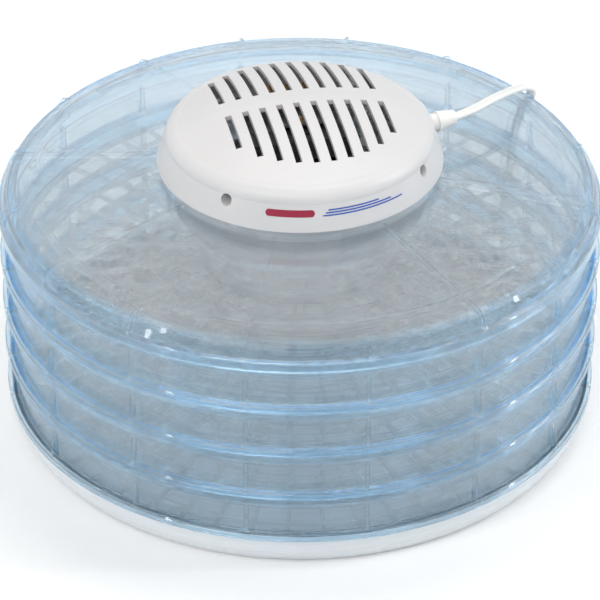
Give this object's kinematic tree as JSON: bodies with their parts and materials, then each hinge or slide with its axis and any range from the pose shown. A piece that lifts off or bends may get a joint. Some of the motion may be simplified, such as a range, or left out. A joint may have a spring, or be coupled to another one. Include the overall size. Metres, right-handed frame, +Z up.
{
  "type": "food dehydrator",
  "caption": "Round electric food dehydrator: stacking clear trays on a shallow pan, a domed clear lid, and a white top-mounted head with motor, fan, heater and cord.",
  "frame": {"origin": "on the floor under the base, on the axis of the stack", "axes": "+Z up along the stack's axis; -Y towards the head's front, with the shorter field of slots; +X towards the side where the cord leaves"},
  "size_m": [0.343, 0.441, 0.1944],
  "materials": {
    "white_shell": "satin",
    "clear_plastic": "clear moulded polystyrene with a faint blue tint",
    "pan_white": "gloss",
    "white_fan": "satin",
    "lamination_steel": "varnished laminations",
    "zinc_steel": "zinc plated",
    "bearing_bronze": "sintered bronze",
    "bobbin_nylon": "moulded nylon",
    "winding_tape": "insulating tape over enamelled copper wire",
    "mica_board": "laminated mica",
    "heating_wire": "oxidised resistance wire",
    "thermostat_metal": "satin",
    "fuse_metal": "satin",
    "cord_white": "soft vinyl",
    "blade_metal": "nickel plated",
    "lead_white": "vinyl insulation",
    "splice_nylon": "crimped closed-end connectors"
  },
  "bodies": {
    "base": {"base_pan": "pan_white"},
    "tray_4": {"tray_4": "clear_plastic"},
    "tray_3": {"tray_3": "clear_plastic"},
    "tray_2": {"tray_2": "clear_plastic"},
    "tray_1": {"tray_1": "clear_plastic"},
    "lid": {"lid": "clear_plastic"},
    "power_head": {"head_cover": "white_shell", "lower_housing": "white_shell", "air_guard": "white_shell", "heat_shield": "zinc_steel", "heater_frame": "mica_board", "heater_coil": "heating_wire", "thermostat": "thermostat_metal", "thermal_fuse": "fuse_metal", "stator": "lamination_steel", "coil_bobbin": "bobbin_nylon", "coil_winding": "winding_tape", "upper_bridge": "zinc_steel", "lower_bridge": "zinc_steel", "upper_bush": "bearing_bronze", "lower_bush": "bearing_bronze", "motor_spider": "zinc_steel", "motor_spacers": "zinc_steel", "motor_screws": "zinc_steel", "spider_screws": "zinc_steel", "guard_screws": "zinc_steel", "cover_screws": "zinc_steel", "strain_relief": "cord_white", "cord_clamp": "white_shell", "live_lead": "lead_white", "neutral_lead": "lead_white", "motor_lead_a": "lead_white", "motor_lead_b": "lead_white", "splices": "splice_nylon", "power_cord": "cord_white", "cord_tail": "cord_white", "cord_coil": "cord_white", "plug_body": "cord_white", "plug_blades": "blade_metal"},
    "fan": {"fan": "white_fan", "rotor": "lamination_steel", "motor_shaft": "zinc_steel", "fan_clip": "zinc_steel"}
  },
  "joints": [
    {"name": "tray_4_lift", "type": "slide", "parent": "base", "child": "tray_4", "axis": [0, 0, 1], "range_m": [0, 0.045]},
    {"name": "tray_3_lift", "type": "slide", "parent": "tray_4", "child": "tray_3", "axis": [0, 0, 1], "range_m": [0, 0.045]},
    {"name": "tray_2_lift", "type": "slide", "parent": "tray_3", "child": "tray_2", "axis": [0, 0, 1], "range_m": [0, 0.045]},
    {"name": "tray_1_lift", "type": "slide", "parent": "tray_2", "child": "tray_1", "axis": [0, 0, 1], "range_m": [0, 0.045]},
    {"name": "lid_lift", "type": "slide", "parent": "tray_1", "child": "lid", "axis": [0, 0, 1], "range_m": [0, 0.05]},
    {"name": "head_lift", "type": "slide", "parent": "lid", "child": "power_head", "axis": [0, 0, 1], "range_m": [0, 0.06]},
    {"name": "fan_spin", "type": "hinge", "parent": "power_head", "child": "fan", "pos_m": [0, 0, 0.152], "axis": [0, 0, 1], "continuous": true}
  ]
}
